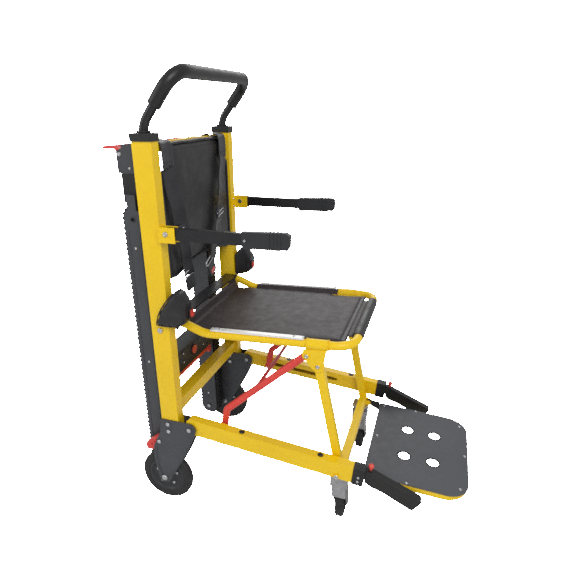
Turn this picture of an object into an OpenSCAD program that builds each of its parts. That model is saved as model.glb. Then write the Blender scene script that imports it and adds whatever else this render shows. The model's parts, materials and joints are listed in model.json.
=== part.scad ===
// Stair chair: a folding wheeled chair with a stair track behind its back frame.
// Drawn with X = 0 at the posts' front faces and Z = 0 at the floor, then moved so that
// the origin is under the middle of the whole chair. +X is the front, +Y the sitter's left.

/* [Back frame] */
// Width over the outer faces of the two posts
frame_w = 500; // [480:5:520]
// Depth of each post, front to back
post_d = 57; // [50:1:60]
// Width of each post, side to side
post_w = 34; // [32:1:36]
// Height of the top of the posts above the floor
post_top = 1133; // [1100:1:1160]
// Wall thickness of the square tubes
wall = 2.5; // [2:0.5:3]

/* [Push handle] */
// Outer diameter of the handle tube
handle_tube_d = 25; // [22:1:26]
// Outer diameter of the foam grip
handle_grip_d = 36; // [32:1:40]
// Height of the centre of the cross grip, lowered
handle_top = 1296; // [1270:1:1320]
// Distance of the cross grip in front of the posts
handle_reach = 70; // [50:1:90]

/* [Seat] */
// Distance of the centre of the front seat tube from the posts
seat_front = 520; // [500:1:530]
// Height of the centre of the front seat tube
seat_height = 617; // [610:1:620]
// Outer diameter of the seat tube
seat_tube_d = 25; // [22:1:26]

/* [Rails and legs] */
// Height of a side rail's section
rail_h = 52; // [46:1:54]
// Width of a side rail's section
rail_w = 29; // [26:1:29]
// Length of a side rail from its pivot to its front end
rail_len = 509; // [500:1:512]
// Downward slope of the rails towards the front, in degrees
rail_slope = 6; // [5:0.5:7]

/* [Wheels] */
// Diameter of a rear wheel
rear_wheel_d = 176; // [170:2:180]
// Width of a rear tyre
rear_wheel_w = 26; // [22:1:28]
// Diameter of a caster wheel
caster_d = 100; // [90:2:100]

/* [Footplate] */
// Length of the board, front to back
board_len = 298; // [270:1:300]
// Width of the board
board_w = 380; // [340:2:380]
// Diameter of the drain holes
drain_d = 35; // [25:1:40]

/* [Track] */
// Height of the upper track roller
track_top = 922; // [880:1:940]
// Width of a track belt
belt_w = 40; // [34:1:44]

/* [Hidden] */
$fn = 48;

mid_x = 333.61;           // middle of the chair from the posts' front faces
gap = 0.3;                // clearance of a sliding or loose fit
pivot_r = 4;              // radius of the pivot bolts
run_r = pivot_r + 0.06;   // bore that turns on a pivot bolt
fit_r = pivot_r + 0.1;    // hole that a bolt is clamped in
post_y = frame_w / 2 - post_w / 2;
post_in = frame_w / 2 - post_w;
post_bottom = 255;
collar_h = 20;

// Linkage: the rails, the seat and the legs form a parallelogram, A-B-C-D
pivot_a = [38, 291];                       // rail on the wheel bracket
pivot_b = [-post_d / 2, 615];              // seat on the post
pivot_c = [427, 554];                      // leg on the seat gusset
pivot_d = pivot_c - pivot_b + pivot_a;     // leg on the rail
pivot_e = [395, 581];                      // brace on the seat gusset
brace_bend = [143, 354];
slot_rest = [93, 6];                       // pin's place in the rail's own frame
slot_end = 353;
rail_y = 233;
rail_in = rail_y - rail_w / 2;
rail_out = rail_y + rail_w / 2;
rail_up = 32;                              // top of the rail above its pivot
leg_y = [192, 212];
brace_y = 201;
brace_r = 11;

bracket_bolt_z = [272, 298];
brake_pivot = [-72, 226];

// Seat
seat_bend = [85, 600];
seat_rear = [14, 627];
seat_y = 203;
seat_r = seat_tube_d / 2;
seat_tilt = atan((seat_height - seat_bend[1]) / (seat_front - seat_bend[0]));

// Legs and front handles
leg_dir = unit(pivot_d - pivot_c);
leg_bottom = 206;
handle_y0 = 221.5;
handle_y1 = 239;
handle_in = 372;                           // inner end of the handle bar, along the rail
neck_lo = -4;
neck_hi = 27;
strap_t = 3;

// Wheels
axle = [-66, rear_wheel_d / 2];
axle_r = 6;
plate_t = 4;
plate_in = 212;
plate_out = frame_w / 2;
caster_x = 492;
caster_y = 176;
caster_trail = 36;

// Armrests
arm_z = 902;
arm_x = 24;
arm_h = 32;
arm_y = 249.5;
arm_bar_w = 14;
arm_grip_w = 18;

// Track
track_pin_r = 3.94;
latch_pivot = [-132, 1096];
track_x = -107;
roller_z = 93;
belt_r = 36;
belt_t = 8;
belt_y = 181.5;

// Footplate
foot_pivot = [520, 213.5];
foot_slope = 3.9;
foot_tube_r = 11;
board_t = 3;

// ---------------------------------------------------------------- helpers
function unit(v) = v / norm(v);
function in_rail(p) = pivot_a + [p[0] * cos(rail_slope) + p[1] * sin(rail_slope),
                                 p[1] * cos(rail_slope) - p[0] * sin(rail_slope)];

// Moves a part from the posts' frame to the origin under the middle of the chair
module placed() { translate([-mid_x, 0, 0]) children(); }

// The sitter's left (+Y) as drawn, or its mirror image on the right
module side(s) { if (s < 0) mirror([0, 1, 0]) children(); else children(); }

module both() { for (s = [-1, 1]) side(s) children(); }

// A shape drawn in X and Z, made solid from y0 to y1
module slab(y0, y1) {
  translate([0, y1, 0]) rotate([90, 0, 0]) linear_extrude(y1 - y0) children();
}

// A round bar along Y
module rod(p, y0, y1, r) {
  translate([p[0], y0, p[1]]) rotate([-90, 0, 0]) cylinder(h = y1 - y0, r = r);
}

module box(x0, x1, y0, y1, z0, z1) {
  translate([x0, y0, z0]) cube([x1 - x0, y1 - y0, z1 - z0]);
}

// A rectangle with rounded corners, in two dimensions
module round_rect(x0, x1, z0, z1, r) {
  translate([x0 + r, z0]) square([x1 - x0 - 2 * r, z1 - z0]);
  translate([x0, z0 + r]) square([x1 - x0, z1 - z0 - 2 * r]);
  for (x = [x0 + r, x1 - r], z = [z0 + r, z1 - r]) translate([x, z]) circle(r);
}

module ring(ro, ri) { difference() { circle(ro); if (ri > 0) circle(ri); } }

// Part of v that is square to the unit vector d, as a unit vector
function square_to(v, d) = unit(v - (v * d) * d);

// Straight tube from p to q; near is a direction that sets how the circle is turned
module straight(p, q, ro, ri, near = [0, 1, 0]) {
  d = unit(q - p);
  u = square_to(near, d);
  v = cross(d, u);
  multmatrix([[u[0], v[0], d[0], p[0]], [u[1], v[1], d[1], p[1]], [u[2], v[2], d[2], p[2]]])
    linear_extrude(norm(q - p)) ring(ro, ri);
}

// Quarter or part of a bend of radius r at vertex p, from direction a to direction b
module bend(p, a, b, r, ro, ri) {
  angle = acos(a * b);
  n = square_to(b, a);
  c = p - a * (r * tan(angle / 2)) + n * r;
  w = cross(a, n);
  multmatrix([[-n[0], a[0], w[0], c[0]], [-n[1], a[1], w[1], c[1]], [-n[2], a[2], w[2], c[2]]])
    rotate_extrude(angle = angle) translate([r, 0]) ring(ro, ri);
}

// Bent tube along the points p, with one bend radius per inner point
module bent_tube(p, r, ro, ri) {
  last = len(p) - 1;
  dirs = [for (i = [0:last - 1]) unit(p[i + 1] - p[i])];
  cuts = [for (i = [0:last])
    i == 0 || i == last ? 0 : r[i - 1] * tan(acos(dirs[i - 1] * dirs[i]) / 2)];
  for (i = [0:last - 1])
    straight(p[i] + dirs[i] * cuts[i], p[i + 1] - dirs[i] * cuts[i + 1], ro, ri,
             dirs[i == 0 ? 1 : i - 1]);
  for (i = [1:last - 1]) {
    bend(p[i], dirs[i - 1], dirs[i], r[i - 1], ro, ri);
    // Hair-thin seams that tie each bend to the straight runs beside it
    seam(p[i] - dirs[i - 1] * cuts[i], dirs[i - 1], dirs[i], ro, ri);
    seam(p[i] + dirs[i] * cuts[i], dirs[i], dirs[i - 1], ro, ri);
  }
}

module seam(p, d, near, ro, ri) {
  straight(p - d * 0.4, p + d * 0.4, ro + 0.05, ri > 0 ? ri - 0.05 : 0, near);
}

// Puts a shape drawn along +X at the rail's own slope, with its origin at the rail pivot
module along_rail() {
  translate([pivot_a[0], 0, pivot_a[1]]) rotate([0, rail_slope, 0]) children();
}

module along_footplate() {
  translate([foot_pivot[0], 0, foot_pivot[1]]) rotate([0, foot_slope, 0]) children();
}

// ---------------------------------------------------------------- back frame
module post(s) {
  color("gold") placed() side(s) difference() {
    box(-post_d, 0, post_in, frame_w / 2, post_bottom, post_top);
    box(-post_d + wall, -wall, post_in + wall, frame_w / 2 - wall, post_bottom - 1, post_top + 1);
    rod(pivot_b, post_in - 1, frame_w / 2 + 1, fit_r);
    for (z = bracket_bolt_z) rod([-34, z], post_in - 1, frame_w / 2 + 1, fit_r);
  }
}

module post_collars() {
  color("black") placed() both() difference() {
    box(-post_d - 3, 3, post_in - 3, frame_w / 2 + 3, post_top, post_top + collar_h);
    translate([-post_d / 2, post_y, post_top - 1])
      cylinder(h = collar_h + 2, r = handle_tube_d / 2 + gap);
  }
}

module top_crossbar() {
  color("gold") placed() difference() {
    box(-52, -27, -post_in, post_in, 1102, 1127);
    box(-50, -29, -post_in - 1, post_in + 1, 1104, 1125);
  }
}

module bottom_crossmember() {
  color("gold") placed() difference() {
    box(-50, -10, -post_in, post_in, 322, 361);
    box(-50 + wall, -10 - wall, -post_in - 1, post_in + 1, 322 + wall, 361 - wall);
  }
}

// Outline of one cheek of the wheel bracket
module cheek_outline() {
  difference() {
    union() {
      polygon([[-60, 312], [38, 312], [58, 285], [50, 262], [16, 190], [-49, 74],
               [-84, 74], [-98, 160], [-94, 205], [-66, 262]]);
      translate(pivot_a) circle(21);
      translate(axle) circle(20);
    }
    translate(pivot_a) circle(fit_r);
    translate(axle) circle(axle_r + 0.1);
    for (z = bracket_bolt_z) translate([-34, z]) circle(fit_r);
    translate(brake_pivot) circle(fit_r);
  }
}

module wheel_bracket(s) {
  color("dimgray") placed() side(s) {
    slab(plate_out, plate_out + plate_t) cheek_outline();
    slab(plate_in, plate_in + plate_t) {
      cheek_outline();
      difference() {
        polygon([[-84, 76], [-100, 80], [-122, 93], [-112, 108], [-97, 150]]);
        translate([track_x, roller_z]) circle(track_pin_r + 0.1);
      }
    }
    // Block that joins the two cheeks above the wheel
    box(-44, -20, plate_in + plate_t, plate_out, 200, 208);
  }
}

module frame_bolts() {
  color("silver") placed() both() {
    // Rail pivot
    rod(pivot_a, plate_in - 5, plate_out + plate_t, pivot_r);
    rod(pivot_a, plate_out + plate_t, plate_out + plate_t + 4, 7);
    rod(pivot_a, plate_in - 5, plate_in, 7);
    // Rear axle
    rod(axle, plate_in - 6, plate_out + plate_t, axle_r);
    rod(axle, plate_out + plate_t, plate_out + plate_t + 4, 10);
    rod(axle, plate_in - 6, plate_in, 10);
    // Seat pivot, with its spacer against the post
    rod(pivot_b, 196, frame_w / 2, pivot_r);
    rod(pivot_b, frame_w / 2, frame_w / 2 + 4, 8);
    rod(pivot_b, 210.6, post_in, 9);
    rod(pivot_b, 194, 199.4, 7);
    // Bolts that hold the bracket on the post
    for (z = bracket_bolt_z) {
      rod([-34, z], plate_in, plate_out + plate_t, pivot_r);
      rod([-34, z], plate_out + plate_t, plate_out + plate_t + 3.5, 6.5);
      rod([-34, z], plate_in - 3.5, plate_in, 6.5);
    }
    // Brake pedal pivot
    rod(brake_pivot, plate_in, plate_out + plate_t, pivot_r);
    rod(brake_pivot, plate_out + plate_t, plate_out + plate_t + 3, 6.5);
    // Armrest pivot
    rod([arm_x, arm_z], arm_y - 14, arm_y + 14, pivot_r);
    for (y = [arm_y - 14, arm_y + 11.5]) rod([arm_x, arm_z], y, y + 2.5, 7);
    // Axle that the track and its lower roller turn on
    rod([track_x, roller_z], belt_y - 31, plate_in + plate_t, track_pin_r);
    rod([track_x, roller_z], belt_y - 34, belt_y - 30, 7);
    rod([track_x, roller_z], belt_y + 29.8, plate_in, 8);
  }
}

module arm_brackets() {
  color("gold") placed() both() difference() {
    union() {
      box(0, 4, 224, arm_y + 11.5, 878, 920);
      for (y = [arm_y - 11.5, arm_y + 8.5]) box(4, 50, y, y + 3, 878, 920);
    }
    rod([arm_x, arm_z], arm_y - 20, arm_y + 20, fit_r);
  }
}

// ---------------------------------------------------------------- upholstery and harness
module backrest_panel() {
  color("#26242a") placed() translate([-27, 0, 0]) rotate([90, 0, 90]) linear_extrude(25)
    difference() {
      union() {
        round_rect(-208, 208, 752, 1056, 22);
        translate([-158, 1030]) square([316, 94]);
      }
      translate([0, 752 - 640]) circle(664, $fn = 96);
      for (s = [-1, 1]) translate([s * 300 - 110, 700]) square([220, 40]);
    }
}

module strap_run(p, q, w) {
  // p and q are [x, y, z]; the webbing stands on edge w wide, facing forward
  lean = atan2(q[1] - p[1], p[2] - q[2]);
  tilt = atan2(q[0] - p[0], p[2] - q[2]);
  translate(p) rotate([lean, -tilt, 0])
    translate([0, -w / 2, -norm(q - p)]) cube([strap_t, w, norm(q - p)]);
}

module sleeve(y0, y1) {
  difference() {
    box(-57, 4, y0, y1, 1056, 1131);
    box(-53, -1, y0 - 1, y1 + 1, 1055, 1128);
  }
}

module harness_webbing() {
  color("#3a3a3f") placed() {
    sleeve(-186, -130);
    sleeve(126, 182);
    strap_run([1.5, -158, 1055.5], [8, -150, 905], 48);
    strap_run([1.5, 154, 1055.5], [6, 112, 905], 48);
    strap_run([8, -149, 870], [6, -128, 750], 46);
    strap_run([6, 103, 870], [6, 38, 755], 46);
  }
}

module buckle(p, turn, w, h) {
  translate(p) rotate([turn, 0, 0]) difference() {
    box(0, 8, -w / 2, w / 2, -h / 2, h / 2);
    box(-1, 10, -w / 2 + 6, w / 2 - 6, h / 2 - 12, h / 2 - 6);
    box(-1, 10, -w / 2 + 6, w / 2 - 6, -h / 2 + 6, -h / 2 + 12);
  }
}

module harness_buckles() {
  color("#1a1a1c") placed() {
    buckle([5, -149.5, 887.5], 4, 54, 34);
    buckle([3, 107, 887.5], 14, 54, 34);
    buckle([3, -122, 727], 8, 56, 64);
    buckle([3, 21, 727], 24, 56, 64);
  }
}

module lap_belt_boots() {
  // A stitched cuff round the outer and front faces of each post, above the seat pivot
  color("#232325") placed() both() difference() {
    slab(219, 263) polygon([[-34, 640], [-22, 676], [4, 716], [32, 744], [50, 736], [64, 700],
                            [64, 664], [54, 645], [20, 633], [-26, 632]]);
    box(-post_d - 1, 0.4, 200, frame_w / 2 + 0.4, 600, 760);
    box(57.5, 69, 226 - gap, 240 + gap, 664 - gap, 684 + gap);
  }
}

// The cuff's belt end carries a sprung red release
module belt_button(s) {
  color("#d8564a") placed() side(s) box(61, 71, 226, 240, 664, 684);
}

// ---------------------------------------------------------------- push handle
function handle_path(z0) = let (x = -post_d / 2, y = post_y) [
  [x, -y, z0], [x, -y, 1173], [handle_reach, -y, handle_top],
  [handle_reach, y, handle_top], [x, y, 1173], [x, y, z0]];

module push_handle_tube() {
  color("#1b1b1d") placed()
    bent_tube(handle_path(850), [70, 55, 55, 70], handle_tube_d / 2, handle_tube_d / 2 - 2);
}

module push_handle_grip() {
  p = handle_path(850);
  foot = 0.4;   // where the foam starts, as a part of the slanted run
  low = p[1] + (p[2] - p[1]) * foot;
  high = p[4] + (p[3] - p[4]) * foot;
  color("#111113") placed()
    bent_tube([low, p[2], p[3], high], [55, 55], handle_grip_d / 2, handle_tube_d / 2);
}

// ---------------------------------------------------------------- armrests
module armrest_bar(s) {
  color("#202124") placed() side(s) difference() {
    slab(arm_y - arm_bar_w / 2, arm_y + arm_bar_w / 2) {
      translate([arm_x, arm_z]) circle(arm_h / 2);
      translate([arm_x, arm_z - arm_h / 2]) square([322, arm_h]);
    }
    box(50, 350, arm_y - 5, arm_y + 5, arm_z - 13, arm_z + 13);
    rod([arm_x, arm_z], arm_y - 20, arm_y + 20, run_r);
  }
}

module armrest_grip(s) {
  color("#2b2c30") placed() side(s) difference() {
    slab(arm_y - arm_grip_w / 2, arm_y + arm_grip_w / 2)
      polygon([[236, 922], [352, 926], [362, 920], [361, 892], [355, 882], [344, 884],
               [336, 880.5], [264, 880.5], [254, 878], [240, 878], [236, 886]]);
    box(230, 346.5, arm_y - arm_bar_w / 2, arm_y + arm_bar_w / 2,
        arm_z - arm_h / 2, arm_z + arm_h / 2);
  }
}

// ---------------------------------------------------------------- rear wheels and brakes
module rear_tyre(s) {
  r = rear_wheel_d / 2;
  w = rear_wheel_w;
  color("#18181a") placed() side(s) translate([axle[0], rail_y, axle[1]]) rotate([90, 0, 0])
    rotate_extrude($fn = 96) difference() {
      translate([62, -w / 2]) square([r - 62, w]);
      for (k = [-1, 1]) translate([r, k * w / 2]) rotate(45) square(8, center = true);
    }
}

module rear_hub(s) {
  w = rear_wheel_w;
  color("#3d4048") placed() side(s) translate([axle[0], rail_y, axle[1]]) rotate([90, 0, 0])
    rotate_extrude($fn = 96) difference() {
      union() {
        translate([54, -w / 2 + 1]) square([8, w - 2]);
        translate([axle_r + 0.06, -4]) square([50, 8]);
        translate([axle_r + 0.06, -w / 2 - 2]) square([12, w + 4]);
      }
    }
}

module brake_pedal(s) {
  color("#d8564a") placed() side(s) slab(rail_y - 8, rail_y + 8) difference() {
    union() {
      polygon([[-72, 216], [-62, 226], [-66, 245], [-100, 226], [-130, 202], [-134, 190],
               [-128, 172], [-110, 178], [-92, 184], [-84, 206]]);
      translate(brake_pivot) circle(10);
    }
    translate(brake_pivot) circle(run_r);
    for (k = [0:3]) translate([-110 + 9 * k, 199 + 9 * k]) circle(2.6);
  }
}

// ---------------------------------------------------------------- stair track
module stadium(r) {
  translate([track_x, roller_z]) circle(r);
  translate([track_x, track_top]) circle(r);
  translate([track_x - r, roller_z]) square([2 * r, track_top - roller_z]);
}

module track_beams() {
  color("#34363c") placed() both() {
    // Beam that the belt runs round, and a cheek on each side of it
    slab(belt_y - 16, belt_y + 16) difference() {
      translate([track_x - 24, 128]) square([48, track_top - 163]);
      translate([track_x - 20, 132]) square([40, track_top - 171]);
    }
    for (y = [belt_y - 28, belt_y + 22]) slab(y, y + 6) difference() {
      union() {
        stadium(30);
        translate([track_x - 14, track_top]) square([28, 68]);
      }
      for (z = [roller_z, track_top]) translate([track_x, z]) circle(8.2);
    }
    for (z = [160, 500, 860])
      rod([track_x, z], belt_y - 28, belt_y + 28, 7);
  }
}

module track_belts() {
  pitch = 15;
  ribs = floor((track_top - roller_z) / pitch);
  color("#17171a") placed() both() slab(belt_y - belt_w / 2, belt_y + belt_w / 2) difference() {
    union() {
      stadium(belt_r);
      for (i = [0:ribs], k = [-1, 1])
        translate([track_x + k * belt_r - 3, roller_z + i * pitch + 1.5]) square([6, 8]);
      for (a = [1:7], k = [0, 1])
        translate([track_x, k == 0 ? roller_z : track_top]) rotate(k * 180 + 180 + a * 22.5)
          translate([belt_r - 3, -4]) square([6, 8]);
    }
    stadium(belt_r - belt_t);
  }
}

module track_masts() {
  color("#1d1d20") placed() both() difference() {
    union() {
      box(track_x - 14, track_x + 14, belt_y - 14, belt_y + 14, 966, 1112);
      box(track_x - 14, track_x + 14, belt_y - 22, belt_y + 22, 966, 990);
      box(track_x - 30, track_x + 14, belt_y - 14, belt_y + 14, 966, 1060);
    }
    box(track_x - 28, track_x + 12, belt_y - 12, belt_y + 12, 976, 1058);
    box(track_x - 12, track_x + 12, belt_y - 12, belt_y + 12, 976, 1113);
  }
}

module roller(z) {
  both() difference() {
    union() {
      rod([track_x, z], belt_y - 19, belt_y + 19, belt_r - belt_t - 0.4);
      rod([track_x, z], belt_y - 29, belt_y + 29, 8);
    }
    rod([track_x, z], belt_y - 30, belt_y + 30, 4);
  }
}

module track_lower_rollers() { color("#4a4d55") placed() roller(roller_z); }
module track_upper_rollers() { color("#4a4d55") placed() roller(track_top); }

module track_cross_housing() {
  y = belt_y - 28;
  color("#141416") placed() difference() {
    union() {
      box(-130, -70, -y, y, 386, 462);
      box(-124, -90, -y, y, 860, 890);
    }
    // Recess of the release button
    translate([-84, 0, 426]) rotate([0, 90, 0]) cylinder(h = 15, r = 15 + gap);
    // Guide holes of the release bar
    for (s = [-1, 1]) translate([-84, s * 60, 385]) cylinder(h = 19, r = 3 + gap);
  }
}

module release_button() {
  color("#d8403a") placed() translate([-79, 0, 426]) rotate([0, 90, 0]) cylinder(h = 14, r = 15);
}

module release_bar() {
  color("#d8564a") placed() {
    box(-92, -76, -138, 138, 366, 379);
    both() box(-92, -76, 126, 138, 350, 366);
    for (s = [-1, 1]) translate([-84, s * 60, 378]) cylinder(h = 18, r = 3);
  }
}

module track_latch_plates() {
  // Plates on top of the masts that hook over the back of the posts
  color("#4b4e55") placed() both() {
    for (y = [belt_y - 19, belt_y + 14.5]) slab(y, y + 4.5)
      polygon([[-142, 1046], [-60, 1046], [-60, 1086], [-92, 1122], [-124, 1122],
               [-124, 1112], [-142, 1104]]);
    rod([-107, 1117], belt_y - 15, belt_y + 15, 4);
    rod(latch_pivot, belt_y - 15, belt_y + 15, pivot_r);
  }
}

module latch_lever() {
  // Red cross lever behind the latch plates
  color("#d8564a") placed() difference() {
    union() {
      both() slab(belt_y - 10, belt_y + 10) {
        polygon([[-140, 1090], [-126, 1090], [-126, 1102], [-150, 1116], [-186, 1116],
                 [-190, 1112], [-186, 1108], [-152, 1108]]);
      }
      rod([-180, 1112], -belt_y, belt_y, 4);
    }
    rod(latch_pivot, -250, 250, run_r);
  }
}

// ---------------------------------------------------------------- seat
// Puts a shape at the seat's slope, with its origin on the side tubes' centre line at the bend
module along_seat() {
  translate([seat_bend[0], 0, seat_bend[1]]) rotate([0, -seat_tilt, 0]) children();
}

module seat_tube() {
  color("gold") placed() bent_tube([
    [seat_rear[0], -seat_y, seat_rear[1]], [seat_bend[0], -seat_y, seat_bend[1]],
    [seat_front, -seat_y, seat_height], [seat_front, seat_y, seat_height],
    [seat_bend[0], seat_y, seat_bend[1]], [seat_rear[0], seat_y, seat_rear[1]]],
    [90, 55, 55, 90], seat_r, seat_r - 2);
}

module seat_panel() {
  color("#2a2529") placed() {
    along_seat() translate([0, 0, -8]) linear_extrude(12) {
      translate([-68, -189]) square([360, 378]);
      translate([280, -178]) square([123, 356]);
    }
    // Rear end of the sling, rising to the flat bar
    slab(-189, 189) polygon([[13.2, 633], [20, 637], [29, 602], [18, 590]]);
  }
}

module seat_front_sleeve() {
  color("#4a484c") placed() difference() {
    slab(-142, 142) round_rect(seat_front - 17, seat_front + 15, seat_height - 15,
                               seat_height + 14.5, 8);
    rod([seat_front, seat_height], -150, 150, seat_r);
  }
}

module seat_clamp_strips() {
  color("silver") placed() both() along_seat()
    box(24, 300, seat_y - 7, seat_y + 9, seat_r, seat_r + 3);
}

module seat_hinge_bar() {
  // Flat rear bar with an eye at each end that turns on the seat pivot
  color("#333539") placed() {
    box(-32, 13, -200, 200, 633, 638);
    both() difference() {
      union() {
        slab(200, 210) {
          translate(pivot_b) circle(14);
          polygon([[-32, 628], [-20, 604], [4, 604], [9, 614], [13, 633], [13, 638], [-32, 638]]);
        }
        straight([7, seat_y, 629.7], [34, seat_y, 619.4], seat_r - 2.2, 0);
      }
      rod(pivot_b, 190, 220, run_r);
    }
  }
}

module seat_gussets() {
  // Sleeve on the side tube and the plate below it, with the studs of the leg and the brace
  color("gold") placed() both() {
    along_seat() translate([308, seat_y, 0]) rotate([0, 90, 0])
      linear_extrude(60) ring(seat_r + 2.5, seat_r);
    difference() {
      slab(213, 216) {
        polygon([[384, 600], [384, 576], [412, 542], [440, 540], [450, 604]]);
        translate(pivot_c) circle(17);
        translate(pivot_e) circle(13);
      }
      along_seat() translate([290, seat_y, 0]) rotate([0, 90, 0]) cylinder(h = 90, r = seat_r);
    }
    for (p = [pivot_c, pivot_e]) {
      rod(p, 184, 216, pivot_r);
      rod(p, 184, 188.4, 7);
      rod(p, 216, 219.5, 7);
    }
  }
}

// ---------------------------------------------------------------- rails and front handles
module rail(s) {
  c = pivot_d - pivot_a;
  // Leg pivot in the rail's own frame
  d = [c[0] * cos(rail_slope) - c[1] * sin(rail_slope), c[0] * sin(rail_slope) + c[1] * cos(rail_slope)];
  color("gold") placed() side(s) along_rail() difference() {
    slab(rail_in, rail_out) difference() {
      polygon([[-14, rail_up - rail_h + 6], [-8, rail_up - rail_h], [rail_len, rail_up - rail_h],
               [rail_len, rail_up], [-6, rail_up], [-14, rail_up - 8]]);
      circle(run_r);
      translate(d) circle(pivot_r + 1);
    }
    box(-20, rail_len + 1, rail_in + wall, rail_out - wall,
        rail_up - rail_h + wall, rail_up - wall);
    // Slot that the brace pin runs in
    box(slot_rest[0], slot_end, rail_in - 1, rail_in + wall + 1,
        slot_rest[1] - 4.5, slot_rest[1] + 4.5);
    for (x = [slot_rest[0], slot_end]) rod([x, slot_rest[1]], rail_in - 1, rail_in + wall + 1, 4.5);
  }
}

module rail_end_caps() {
  color("#1c1c1f") placed() both() along_rail() {
    // Front sleeve that guides the handle
    difference() {
      box(rail_len - 6, rail_len + 27, rail_in - 1.5, rail_out + 1.5,
          rail_up - rail_h - 3, rail_up + 1.5);
      box(rail_len - 7, rail_len, rail_in, rail_out, rail_up - rail_h, rail_up);
      box(rail_len - 7, rail_len + 28, handle_y0 - gap, handle_y1 + gap,
          neck_lo - gap, neck_hi + gap);
    }
  }
}

module front_handle(s) {
  color("#26272b") placed() side(s) along_rail() {
    box(handle_in, rail_len + 30, handle_y0, handle_y1, neck_lo, neck_hi);
    difference() {
      slab(217, 239) polygon([[rail_len + 29, neck_hi], [rail_len + 50, neck_hi - 4],
        [rail_len + 82, 12], [rail_len + 186, -20], [rail_len + 190, -27],
        [rail_len + 172, -60], [rail_len + 164, -61], [rail_len + 84, -30],
        [rail_len + 52, -24], [rail_len + 46, -22], [rail_len + 29, -12]]);
      translate([rail_len + 40, 228, 12]) cylinder(h = 20, r = 4 + gap);
    }
  }
}

module handle_knob(s) {
  color("#d8564a") placed() side(s) along_rail() translate([rail_len + 40, 228, 0]) {
    translate([0, 0, 17]) cylinder(h = 16, r = 4);
    translate([0, 0, neck_hi + 12]) sphere(r = 8);
  }
}

// ---------------------------------------------------------------- legs, brace, casters
module leg_frame() {
  n = [leg_dir[1], -leg_dir[0]] * 12.5;
  foot = pivot_c + leg_dir * ((pivot_c[1] - leg_bottom) / -leg_dir[1]);
  color("gold") placed() {
    both() {
      difference() {
        slab(leg_y[0], leg_y[1]) {
          translate(pivot_c) circle(12.5);
          polygon([pivot_c + n, pivot_c - n, [foot[0] + 13, leg_bottom], [foot[0] - 13, leg_bottom]]);
        }
        rod(pivot_c, 180, 220, run_r);
      }
      // Stud of the leg and rail pivot, and the lugs of the footplate hinge
      rod(pivot_d, leg_y[1], rail_out + 5, pivot_r);
      rod(pivot_d, rail_out + 1.5, rail_out + 5, 8);
      rod(pivot_d, leg_y[1], rail_in - 0.8, 9);
      for (y = [168, 186.5]) slab(y, y + 5.5) {
        translate(foot_pivot) circle(8);
        translate([505, leg_bottom]) square([15, 15]);
      }
      rod(foot_pivot, 168, 192, pivot_r);
    }
    difference() {
      box(foot[0] - 13, foot[0] + 13, -leg_y[0], leg_y[0], leg_bottom, 230);
      box(foot[0] - 11, foot[0] + 11, -leg_y[0] + 1, leg_y[0] - 1, leg_bottom + 2, 228);
    }
  }
}

module caster_plates() {
  color("#8c8f94") placed() both() {
    box(caster_x - 27, caster_x + 27, caster_y - 26, caster_y + 24, 202, leg_bottom);
    translate([caster_x, caster_y, 180]) cylinder(h = 22, r = 6);
  }
}

module caster_fork(s) {
  color("#8c8f94") placed() translate([caster_x, s * caster_y, 0]) difference() {
    union() {
      translate([0, 0, 184]) cylinder(h = 17.4, r = 22);
      box(-21, 21, -24, 30, 110, 186);
      box(-26, 26, -26, 28, 150, 186);
      for (x = [-21, 17.5]) translate([x, 0, 0]) rotate([90, 0, 90]) linear_extrude(3.5) {
        polygon([[-24, 120], [30, 120], [54, 56], [26, 50]]);
        translate([caster_trail, caster_d / 2]) circle(14);
      }
      translate([-23, caster_trail, caster_d / 2]) rotate([0, 90, 0]) cylinder(h = 46, r = 4);
    }
    translate([0, 0, 170]) cylinder(h = 40, r = 6.06);
    box(-17.5, 17.5, -14, 31, 105, 150);
  }
}

module caster_wheel(s) {
  r = caster_d / 2;
  color("#1a1a1c") placed() translate([caster_x, s * caster_y + caster_trail, r])
    rotate([0, 90, 0]) rotate_extrude($fn = 72) difference() {
      union() {
        translate([r - 16, -13]) square([16, 26]);
        translate([4.06, -5]) square([r - 16, 10]);
        translate([4.06, -15.5]) square([10, 31]);
      }
      for (k = [-1, 1]) translate([r, k * 13]) rotate(45) square(6, center = true);
    }
}

module brace() {
  pin = in_rail(slot_rest);
  x = 236;
  cross = [x, brace_bend[1] + (x - brace_bend[0]) * (pivot_e[1] - brace_bend[1])
                              / (pivot_e[0] - brace_bend[0])];
  color("#d8564a") placed() {
    both() difference() {
      union() {
        bent_tube([[pivot_e[0], brace_y, pivot_e[1]], [brace_bend[0], brace_y, brace_bend[1]],
                   [pin[0], brace_y, pin[1]]], [25], brace_r, 0);
        rod(pivot_e, 194.5, 210.5, 14);
        rod(pin, 194.5, 210.5, 12);
      }
      rod(pivot_e, 190, 220, run_r);
    }
    rod(cross, -brace_y, brace_y, 6);
  }
}

module slot_pins() {
  color("silver") placed() both() along_rail() {
    rod(slot_rest, 212.6, rail_in + wall + 1, pivot_r);
    rod(slot_rest, rail_in + wall + 0.5, rail_in + wall + 5, 8);
  }
}

// ---------------------------------------------------------------- footplate
module footplate_board() {
  l = 40;
  w = board_w / 2;
  r = 65;
  color("#4c4c52") placed() along_footplate() translate([0, 0, -board_t])
    linear_extrude(board_t)
    difference() {
      union() {
        translate([l, -w]) square([board_len - r, board_w]);
        translate([l, -w + r]) square([board_len, board_w - 2 * r]);
        for (y = [-w + r, w - r]) translate([l + board_len - r, y]) circle(r);
      }
      for (x = [148, 234], y = [-66.5, 66.5]) translate([x, y]) circle(drain_d / 2);
    }
}

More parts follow.
